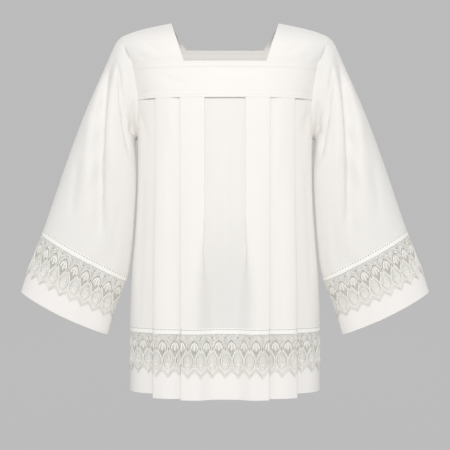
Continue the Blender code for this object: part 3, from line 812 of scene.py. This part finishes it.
SLEEVE_CREASES = (
    Crease(FRONT, 0.0085, 0.0140, (
        (-0.252, -0.076), (-0.266, -0.114), (-0.273, -0.161), (-0.277, -0.208), (-0.280, -0.282),
        (-0.281, -0.346), (-0.280, -0.416), (-0.273, -0.490),
    )),
    Crease(FRONT, 0.0050, 0.0095, (
        (-0.243, -0.086), (-0.236, -0.138), (-0.232, -0.174), (-0.225, -0.221), (-0.218, -0.263),
        (-0.212, -0.312),
    )),
    Crease(FRONT, 0.0040, 0.0060, ((-0.226, -0.050), (-0.221, -0.070), (-0.213, -0.089))),
    Crease(FRONT, 0.0045, 0.0040, ((-0.205, -0.176), (-0.208, -0.205), (-0.211, -0.262))),
    Crease(FRONT, 0.0110, -0.0030, (
        (-0.258, -0.110), (-0.256, -0.180), (-0.252, -0.270), (-0.246, -0.380),
    )),
    Crease(FRONT, 0.0120, -0.0030, (
        (-0.300, -0.190), (-0.306, -0.280), (-0.308, -0.380), (-0.300, -0.470),
    )),
    Crease(FRONT, 0.0090, 0.0024, ((-0.330, -0.300), (-0.338, -0.380), (-0.344, -0.450))),
    Crease(FRONT, 0.0090, 0.0022, ((-0.238, -0.400), (-0.242, -0.470), (-0.252, -0.560))),
    Crease(FRONT, 0.0085, 0.0140, (
        (0.250, -0.070), (0.264, -0.110), (0.272, -0.160), (0.276, -0.210), (0.279, -0.285),
        (0.280, -0.350), (0.279, -0.410), (0.271, -0.480),
    )),
    Crease(FRONT, 0.0050, 0.0095, (
        (0.243, -0.090), (0.237, -0.136), (0.232, -0.176), (0.226, -0.222), (0.218, -0.266),
        (0.213, -0.318),
    )),
    Crease(FRONT, 0.0040, 0.0060, ((0.226, -0.052), (0.220, -0.072), (0.213, -0.092))),
    Crease(FRONT, 0.0045, 0.0040, ((0.205, -0.174), (0.209, -0.207), (0.212, -0.268))),
    Crease(FRONT, 0.0110, -0.0030, ((0.258, -0.106), (0.255, -0.182), (0.251, -0.275), (0.247, -0.370))),
    Crease(FRONT, 0.0120, -0.0030, ((0.299, -0.185), (0.305, -0.284), (0.306, -0.390), (0.298, -0.476))),
    Crease(FRONT, 0.0090, 0.0022, ((0.331, -0.305), (0.340, -0.385), (0.345, -0.455))),
    Crease(FRONT, 0.0090, 0.0024, ((0.237, -0.395), (0.241, -0.468), (0.253, -0.565))),
    Crease(BACK, 0.0070, 0.0046, (
        (-0.250, -0.070), (-0.264, -0.130), (-0.272, -0.230), (-0.280, -0.350), (-0.286, -0.450),
    )),
    Crease(BACK, 0.0050, 0.0030, ((-0.238, -0.090), (-0.232, -0.150), (-0.222, -0.240))),
    Crease(BACK, 0.0110, -0.0026, ((-0.300, -0.200), (-0.308, -0.310), (-0.312, -0.430))),
    Crease(BACK, 0.0070, 0.0044, (
        (0.251, -0.075), (0.265, -0.140), (0.273, -0.240), (0.282, -0.345), (0.290, -0.460),
    )),
    Crease(BACK, 0.0050, 0.0032, ((0.238, -0.085), (0.231, -0.155), (0.222, -0.250))),
    Crease(BACK, 0.0110, -0.0026, ((0.302, -0.210), (0.309, -0.320), (0.314, -0.440))),
)


def armhole_line(side):
    """Points of the left armhole's edge from the shoulder point to the underarm, before or behind it."""
    strap = left_strap[: STRAP_ROWS + 1, -1][::-1] if side == FRONT else left_strap[STRAP_ROWS:, -1]
    heights = np.linspace(strap[-1][2], YOKE_BOTTOM, 14)[1:]
    yoke = [on_body(z, armhole_distance(z, side), 0.0, side) for z in heights]
    seam, corner = seam_distance(YOKE_BOTTOM, side), armhole_distance(YOKE_BOTTOM, side)
    under = []
    for turned in np.linspace(0, math.pi / 2, 20)[1:]:
        z = YOKE_BOTTOM - (YOKE_BOTTOM - UNDERARM) * math.sin(turned)
        share = 1 - math.cos(turned)
        wide = seam_distance(z, side)
        under.append(on_body(z, between(corner * wide / seam, wide, share), 0.0, side))
    return np.concatenate([strap, yoke, under])


def armhole_points(turns):
    """Points of the left armhole at turns from the shoulder point: below 0 in front, above 0 behind."""
    lines = {side: armhole_line(side) for side in (FRONT, BACK)}
    ring = []
    for turn in turns:
        line = lines[BACK if turn >= 0 else FRONT]
        axis = line[0] - line[-1]
        across = np.clip(2 * (line - line[-1]) @ axis / (axis @ axis) - 1, -1, 1)
        at = np.maximum.accumulate(np.arccos(across))
        ring.append([np.interp(abs(turn), at, line[:, place]) for place in range(3)])
    return np.array(ring)


def ring_points(ring, turns):
    """Points of one ring of the left sleeve at turns from its outer end, which is its round one."""
    across = np.cos(turns)
    outer = np.array([ring.outer_x, 0.0, ring.outer_z])
    inner = np.array([ring.inner_x, -ring.forward, ring.inner_z])
    round_off = np.sqrt(np.maximum(1 - across**2, 0)) * (np.maximum(1 + across, 0) / 2) ** INNER_SHARPNESS
    depth = ring.half_depth * RING_FULLNESS * round_off
    fold = ring.fold_depth * np.exp(-(((across - ring.fold_at) / FOLD_WIDTH) ** 2))
    depth -= np.where(np.sin(turns) < 0, fold, 0)
    points = between(inner, outer, ((across + 1) / 2)[:, None])
    points[:, 1] += np.where(np.abs(across) < 1, np.copysign(depth, np.sin(turns)), 0)
    points[:, 2] -= ring.dip * (1 - across**2)
    return points


sleeve_turns = np.linspace(-math.pi, math.pi, SLEEVE_TURNS, endpoint=False)
key_rings = [armhole_points(sleeve_turns)] + [ring_points(ring, sleeve_turns) for ring in SLEEVE_RINGS]
key_rings = np.array(key_rings)


def sleeve_points(places):
    """Rows of the left sleeve's points at places from 0 at the armhole, on curves through its rings."""
    slopes = np.gradient(key_rings, axis=0)
    rows = []
    for place in places:
        below = int(np.clip(math.floor(place), 0, len(key_rings) - 2))
        t = place - below
        ease = t * t * (3 - 2 * t)
        bend = t * (1 - t) * (slopes[below] * (1 - t) - slopes[below + 1] * t)
        rows.append(between(key_rings[below], key_rings[below + 1], ease) + bend)
    return np.array(rows)


RIM_ROW = 0.004


def sleeve_shell(name, first, last, rows, hand, cloth_and_shade, slot):
    """A creased shell of a tube of sleeve on one hand. A row close to each end keeps its rims crisp."""
    places = np.linspace(first, last, rows)[1:-1]
    places = np.concatenate([[first, first + RIM_ROW], places, [last - RIM_ROW, last]])
    grid = sleeve_points(places) * (hand, 1, 1)
    grid = creased(grid, outward(grid, True), SLEEVE_CREASES)
    material, thin_and_shaded = cloth_and_shade
    return shell(f"{name}_cloth", grid, material, thin_and_shaded, name, slot, wrapped=True)


SLEEVE_ROWS = 64
# Painted shade: how far each sleeve's cloth is blended towards the shaded thin-cloth colour, all over
SLEEVE_SHADE = 0.27
for hand, word in ((1, "left"), (-1, "right")):
    cloth_and_shade = (ivory, SLEEVE_SHADE)
    sleeve = sleeve_shell(f"sleeve_{word}", 0, LACE_TOP_RING, SLEEVE_ROWS, hand, cloth_and_shade, "cloth")

# --- Cuffs --------------------------------------------------------------------------------------------------
# A plain band of the hem's cloth, turned up double, finishes each sleeve. It is sewn under the foot of the
# sleeve's lace.
CUFF_ROWS = 10
for hand, word in ((1, "left"), (-1, "right")):
    cloth_and_shade = (hem_ivory, 0.0)
    ends = (CUFF_TOP_RING, CUFF_BOTTOM_RING)
    cuff = sleeve_shell(f"cuff_{word}", *ends, CUFF_ROWS, hand, cloth_and_shade, "hem_cloth")

# --- Body lace ----------------------------------------------------------------------------------------------
# Cotton lace let in between skirt and hem: a tape, a net of fine thread, and raised cords that draw arches
# with a three-leaf spray, hatched points and drops. Its zigzag foot lies on the hem's band. Dark yarn is
# painted shade: in a row of cells on the tape, in the figures' openings and under each zigzag.
# Heights on the lace are distances below its top, in metres, and a repeat runs from one drop to the next with
# an arch in its middle.
LACE_BOTTOM = -0.7932
LACE_FALL = SKIRT_BOTTOM - LACE_BOTTOM
LACE_REPEAT = 0.028
LACE_LIFT = 0.0010
TAPE_FOOT = 0.0124
TAPE_LIFT = 0.0005
HOLE_TOP, HOLE_FOOT, HOLE_PITCH = 0.0022, 0.0042, 0.0065
NET_CELL = 0.00145
NET_THREAD = 0.00078
# How much wider the net's threads of painted shade are drawn
SHADE_THREAD_SCALE = 1.3
CORD_STEP = 0.0013
CORD_LIFT = 0.0001
ARCH_TOP, SPRAY_TOP, ARCH_FOOT = 0.0255, 0.0287, 0.0446
POINT_FOOT = 0.0668
DROP_TOP, DROP_FOOT = 0.0495, 0.0935
ZIGZAGS = (0.0862, 0.0897, 0.0932)
# The lace's yarns; the third is a dark yarn of painted shade
LIGHT, GROUND, PAINTED_SHADE, OPEN = 0, 1, 2, 3
Cord = namedtuple("Cord", "width height line tone", defaults=[LIGHT])


def arch_half(v):
    """Half the width of an arch's outer edge at a distance below the lace's top."""
    return 0.0116 * np.clip((v - ARCH_TOP) / 0.0170, 0, 1) ** 0.50


def arch_inner_half(v):
    """Half the width inside an arch, where its spray stands."""
    return 0.0090 * np.clip((v - SPRAY_TOP) / 0.0140, 0, 1) ** 0.52


def drop_half(v):
    """Half the width of a drop, which hangs between two arches."""
    share = np.clip((v - DROP_TOP) / (DROP_FOOT - DROP_TOP), 0, 1)
    return 0.0122 * np.sin(math.pi * share) ** 0.80


def point_half(v):
    """Half the width of a hatched point hanging under an arch."""
    return 0.0100 * np.clip((POINT_FOOT - v) / 0.0215, 0, 1)


def zigzag(from_arch, first):
    """A zigzag line's distance below the lace's top: highest under the arches, lowest under the drops."""
    return first + 0.0150 * np.clip(from_arch / (LACE_REPEAT / 2), 0, 1) ** 1.4


def resampled(line):
    """A line of places with even steps about as long as a cord's."""
    line = np.array(line, float)
    run = np.concatenate([[0], np.cumsum(np.hypot(*np.diff(line, axis=0).T))])
    at = np.linspace(0, run[-1], max(round(run[-1] / CORD_STEP), 1) + 1)
    return np.stack([np.interp(at, run, line[:, 0]), np.interp(at, run, line[:, 1])], axis=-1)


def both_ways(cords):
    """Cords and their mirror images across the repeat's middle."""
    return cords + [cord._replace(line=[(-u, v) for u, v in cord.line]) for cord in cords]


def side_of(half, top, foot, count=16, out=0.0, up=0.0):
    """Places down one side of a figure, moved out from it and up, and never past the repeat's edge."""
    down = np.linspace(top, foot, count)
    return [(min(float(half(v)) + out, LACE_REPEAT / 2), float(v) - up) for v in down]


def from_edge(places):
    """Places given by their distance in from the repeat's edge, where a drop's middle is."""
    return [(LACE_REPEAT / 2 - u, v) for u, v in places]


def repeat_cords():
    """The cords of one repeat, from an arch's middle out to the middles of the drops beside it."""
    half = LACE_REPEAT / 2
    inner_drop = [(max(u - 0.0032, 0), v) for u, v in side_of(drop_half, 0.0530, 0.0900, 22)]
    cords = both_ways([
        # The arch, with two echoes of its top, and the soft wave above it
        Cord(0.0013, 0.0006, side_of(arch_half, ARCH_TOP, ARCH_FOOT, out=0.0005, up=0.0004)),
        Cord(0.0009, 0.0005, side_of(arch_inner_half, SPRAY_TOP, 0.0440)),
        Cord(0.0008, 0.0003, side_of(arch_half, ARCH_TOP, 0.0330, out=0.0028, up=0.0022)),
        Cord(0.0008, 0.0003, side_of(arch_half, ARCH_TOP, 0.0290, out=0.0052, up=0.0046)),
        Cord(0.0008, 0.0003, [
            (0.0001, 0.0165), (0.0035, 0.0172), (0.0075, 0.0208), (0.0105, 0.0228), (half, 0.0238),
        ]),
        # The spray's side leaf, the point under the arch, and the bar between two arches
        Cord(0.0023, 0.0008, [(0.0024, 0.0328), (0.0048, 0.0360), (0.0066, 0.0400), (0.0070, ARCH_FOOT)]),
        Cord(0.0012, 0.0005, side_of(point_half, 0.0455, POINT_FOOT, 8)),
        Cord(0.0014, 0.0006, from_edge([(0.0019, 0.0408), (0.0021, 0.0455), (0.0018, 0.0500)])),
        # The drop in its double rim, with a kernel in it, and a small ring above
        Cord(0.0016, 0.0008, from_edge(side_of(drop_half, DROP_TOP, DROP_FOOT, 24))),
        Cord(0.0013, 0.0006, from_edge(inner_drop)),
        Cord(0.0012, 0.0006, from_edge([
            (0, 0.0600), (0.0030, 0.0650), (0.0044, 0.0710), (0.0036, 0.0765), (0, 0.0822),
        ])),
        Cord(0.0024, 0.0009, from_edge([(0.0036, 0.0762), (0.0020, 0.0795), (0.0002, 0.0822)])),
        Cord(0.0010, 0.0004, from_edge([(0, 0.0655), (0.0014, 0.0700), (0, 0.0760)])),
        Cord(0.0008, 0.0004, from_edge([
            (0.0033, 0.0164), (0.0018, 0.0148), (0.0003, 0.0164), (0.0018, 0.0180), (0.0033, 0.0164),
        ])),
    ])
    places = np.linspace(0, half, 12)
    for first in ZIGZAGS:
        light = [(u, float(zigzag(u, first))) for u in places]
        # Under each light zigzag runs a thin line of dark yarn, a painted shadow
        dark = [(u, float(zigzag(u, first + 0.0009))) for u in places]
        cords += both_ways([Cord(0.0010, 0.0006, light), Cord(0.00032, 0.0003, dark, PAINTED_SHADE)])
    for v in np.arange(0.0472, 0.0640, 0.0026):
        reach = float(point_half(v))
        cords.append(Cord(0.0008, 0.0003, [(-reach, v), (reach, v)]))
    cords.append(Cord(0.0027, 0.0009, [(0.0, 0.0318), (0.0, 0.0400), (0.0, 0.0490)]))
    cords.append(Cord(0.0012, 0.0005, [(-half, TAPE_FOOT), (half, TAPE_FOOT)]))
    cords.append(Cord(0.0010, 0.0009, [(-half, 0.0006), (half, 0.0006)]))
    return cords


def net_tone(from_arch, v):
    """Which yarn the net is worked in at a place: light, ground, painted shade, or none where left open."""
    from_drop = LACE_REPEAT / 2 - from_arch
    arch_level = (v > ARCH_TOP) & (v < 0.0451)
    in_arch = arch_level & (from_arch < arch_half(v))
    in_spray = arch_level & (v > SPRAY_TOP) & (from_arch < arch_inner_half(v))
    in_point = (v >= 0.0451) & (from_arch < point_half(v))
    slit = (v > 0.0410) & (v < 0.0505) & (from_drop < 0.0014)
    drop = drop_half(v)
    rims = (drop > 0.004) & (from_drop < drop - 0.0006) & (from_drop > drop - 0.0028)
    upper_holes = np.hypot(from_drop - 0.0018, v - 0.0164) < 0.0014
    lower_hole = np.hypot(from_drop, v - 0.0212) < 0.0017
    under_tape = (v > TAPE_FOOT + 0.0006) & (v < TAPE_FOOT + 0.0020)
    dashes = under_tape & (np.mod(from_arch, 0.0030) < 0.0016)
    kernel = (v > 0.0600) & (v < 0.0800) & (from_drop < 0.0030)
    over_hem = (v > ZIGZAGS[0]) & (from_drop > drop)
    past_foot = v > zigzag(from_arch, ZIGZAGS[0])
    tone = np.full(np.shape(v), GROUND)
    tone[kernel] = LIGHT
    # Painted shade: dark yarn fills the arches, points, drop rims and slit, where the openings would show
    # shade
    tone[rims | (in_arch & ~in_spray) | in_point | slit] = PAINTED_SHADE
    tone[upper_holes | lower_hole | dashes | over_hem | past_foot] = OPEN
    return tone


class Ground:
    """The cloth that lace is worked on: its surface by distance across and down, in whole repeats."""

    def __init__(self, grid, away, lifts, wrapped=False):
        if wrapped:
            grid = np.concatenate([grid, grid[:, :1]], axis=1)
            away = np.concatenate([away, away[:, :1]], axis=1)
        self.grid = grid + away * np.array(lifts)[:, None, None]
        self.away = away
        self.runs = cloth_length(grid[len(grid) // 2])
        self.repeats = int(round(self.runs[-1] / LACE_REPEAT))
        self.stretch = self.runs[-1] / self.repeats / LACE_REPEAT

    def read(self, u, v):
        """Points and directions away from the wearer, at places across and down in the pattern's metres."""
        column = np.interp(u * self.stretch, self.runs, np.arange(len(self.runs)))
        row = np.clip(v / LACE_FALL, 0, 1) * (len(self.grid) - 1)
        c0 = np.clip(column.astype(int), 0, len(self.runs) - 2)
        r0 = np.clip(row.astype(int), 0, len(self.grid) - 2)
        cs, rs = (column - c0)[..., None], (row - r0)[..., None]
        found = []
        for table in (self.grid, self.away):
            upper = between(table[r0, c0], table[r0, c0 + 1], cs)
            lower = between(table[r0 + 1, c0], table[r0 + 1, c0 + 1], cs)
            found.append(between(upper, lower, rs))
        return found


def ribbon(points, away, cord_kind):
    """Points and faces of cords: a left foot, a crown and a right foot at each place of each cord."""
    cross = np.cross(np.gradient(points, axis=-2), away)
    cross /= np.maximum(np.linalg.norm(cross, axis=-1, keepdims=True), 1e-12)
    half = cross * cord_kind.width / 2
    ridged = np.stack([points - half, points + away * cord_kind.height, points + half], axis=-2)
    cords, steps = points.shape[:2]
    cord, step = np.meshgrid(np.arange(cords), np.arange(steps - 1), indexing="ij")
    a = (cord * steps + step).reshape(-1) * 3
    left = np.stack([a, a + 3, a + 4, a + 1], axis=-1)
    faces = np.concatenate([left, left + 1])
    return ridged.reshape(-1, 3), faces, np.full(len(faces), cord_kind.tone)


def tape_parts(ground):
    """The tape at the lace's top, with a row of dark cells of painted shade where drawn holes would be."""
    columns = 2 * int(ground.runs[-1] / ground.stretch / HOLE_PITCH)
    u = np.linspace(0, ground.repeats * LACE_REPEAT, columns + 1)
    levels = np.array([0.0, HOLE_TOP, HOLE_FOOT, TAPE_FOOT])
    points, away = ground.read(*np.meshgrid(u, levels))
    points = points + away * TAPE_LIFT
    row, column = np.meshgrid(np.arange(3), np.arange(columns), indexing="ij")
    row, column = row.reshape(-1), column.reshape(-1)
    # Painted shade: every other cell in the hole row takes the dark yarn
    tones = np.where((row == 1) & (column % 2 == 1), PAINTED_SHADE, LIGHT)
    a = row * (columns + 1) + column
    below = a + columns + 1
    return points.reshape(-1, 3), np.stack([a, below, below + 1, a + 1], axis=-1), tones


def net_parts(ground):
    """The net: crossing threads on the slant, left out where the figures are open."""
    across = int(ground.repeats * LACE_REPEAT / NET_CELL)
    down = int((LACE_FALL - TAPE_FOOT) / NET_CELL)
    i, j = np.meshgrid(np.arange(across), np.arange(down), indexing="ij")
    middle_u, middle_v = (i + 0.5) * NET_CELL, TAPE_FOOT + (j + 0.5) * NET_CELL
    from_arch = np.abs(np.mod(middle_u, LACE_REPEAT) - LACE_REPEAT / 2)
    tone = net_tone(from_arch, middle_v)
    shown = tone != OPEN
    i, j, tone = i[shown], j[shown], tone[shown]
    slant = (i + j) % 2
    start = np.stack([i * NET_CELL, TAPE_FOOT + (j + slant) * NET_CELL], axis=-1)
    end = np.stack([(i + 1) * NET_CELL, TAPE_FOOT + (j + 1 - slant) * NET_CELL], axis=-1)
    way = (end - start) / np.linalg.norm(end - start, axis=-1, keepdims=True)
    over = np.stack([-way[:, 1], way[:, 0]], axis=-1) * NET_THREAD / 2
    # Threads of painted shade are drawn wider, to darken more
    over *= np.where(tone == PAINTED_SHADE, SHADE_THREAD_SCALE, 1.0)[:, None]
    corners = np.stack([start - over, start + over, end + over, end - over], axis=1)
    points, _ = ground.read(corners[..., 0], corners[..., 1])
    return points.reshape(-1, 3), np.arange(len(start) * 4).reshape(-1, 4), tone


def lace_piece(name, ground, yarns):
    """Tape, net and cords of one piece of lace, joined in one mesh."""
    parts = [tape_parts(ground), net_parts(ground)]
    starts = (np.arange(ground.repeats) + 0.5) * LACE_REPEAT
    for cord in repeat_cords():
        line = resampled(cord.line)
        u = starts[:, None] + line[None, :, 0]
        points, away = ground.read(u, np.broadcast_to(line[:, 1], u.shape))
        parts.append(ribbon(points + away * CORD_LIFT, away, cord))
    before = np.cumsum([0] + [len(part[0]) for part in parts])
    points = np.concatenate([part[0] for part in parts])
    faces = np.concatenate([part[1] + first for part, first in zip(parts, before)])
    mesh = bpy.data.meshes.new(f"{name}_cotton")
    mesh.from_pydata(points.tolist(), [], faces.tolist())
    for yarn in yarns:
        mesh.materials.append(yarn)
    mesh.polygons.foreach_set("material_index", np.concatenate([part[2] for part in parts]))
    mesh.shade_smooth()
    return fitted(f"{name}_cotton", mesh, "lace", name)


def yarn_material(name, colour, shade):
    """Mercerised cotton yarn, with a little sheen and a finely twisted surface."""
    material, shader, place = blank_material(name, 0.75, 0.2, coordinates="Object")
    twist = place.node("ShaderNodeTexNoise", {}, {"Vector": place, "Scale": 1500.0, "Detail": 1.0})
    cloud = place.node("ShaderNodeTexNoise", {}, {"Vector": place, "Scale": 30.0, "Detail": 2.0})
    tint = blend(twist * 0.5 + cloud * 0.5, (*shade, 1), (*colour, 1))
    bump = place.node("ShaderNodeBump", {}, {"Strength": 0.2, "Distance": 0.0002, "Height": twist})
    material.node_tree.links.new(tint.socket, shader.inputs["Base Color"])
    material.node_tree.links.new(bump.socket, shader.inputs["Normal"])
    return material


lace_yarns = (
    yarn_material("cotton_light", (0.985, 0.967, 0.930), (0.955, 0.935, 0.890)),
    yarn_material("cotton_ground", (0.975, 0.955, 0.905), (0.940, 0.920, 0.860)),
    # Painted shade: a dark yarn that stands for the shade seen through the lace's openings
    yarn_material("cotton_painted_shade", (0.500, 0.485, 0.395), (0.400, 0.390, 0.305)),
)
LACE_ROWS = 40
LACE_RISES_OVER = 0.006
for side, word in ((FRONT, "front"), (BACK, "back")):
    heights = np.linspace(SKIRT_BOTTOM, LACE_BOTTOM, LACE_ROWS)
    grid = pleated_points(heights, side)
    grid = creased(grid, away_from_body(grid), BODY_CREASES)
    lifts = LACE_LIFT * smooth((HEM_TOP + LACE_RISES_OVER - heights) / 0.005)
    ground = Ground(grid, outward(grid), lifts)
    lace = lace_piece(f"lace_{word}", ground, lace_yarns)

# --- Sleeve lace --------------------------------------------------------------------------------------------
# The same lace, closed in a ring and let in between each sleeve and its cuff, with its zigzag foot over the
# cuff.
LACE_OVER_CUFF = 0.38
SLEEVE_LACE_RISES_OVER = 0.07
for hand, word in ((1, "left"), (-1, "right")):
    places = np.linspace(LACE_TOP_RING, CUFF_TOP_RING + LACE_OVER_CUFF, LACE_ROWS)
    grid = sleeve_points(places) * (hand, 1, 1)
    away = outward(grid, True)
    grid = creased(grid, away, SLEEVE_CREASES)
    lifts = LACE_LIFT * smooth((places - CUFF_TOP_RING + SLEEVE_LACE_RISES_OVER) / 0.06)
    ground = Ground(grid, away, lifts, wrapped=True)
    lace = lace_piece(f"sleeve_lace_{word}", ground, lace_yarns)
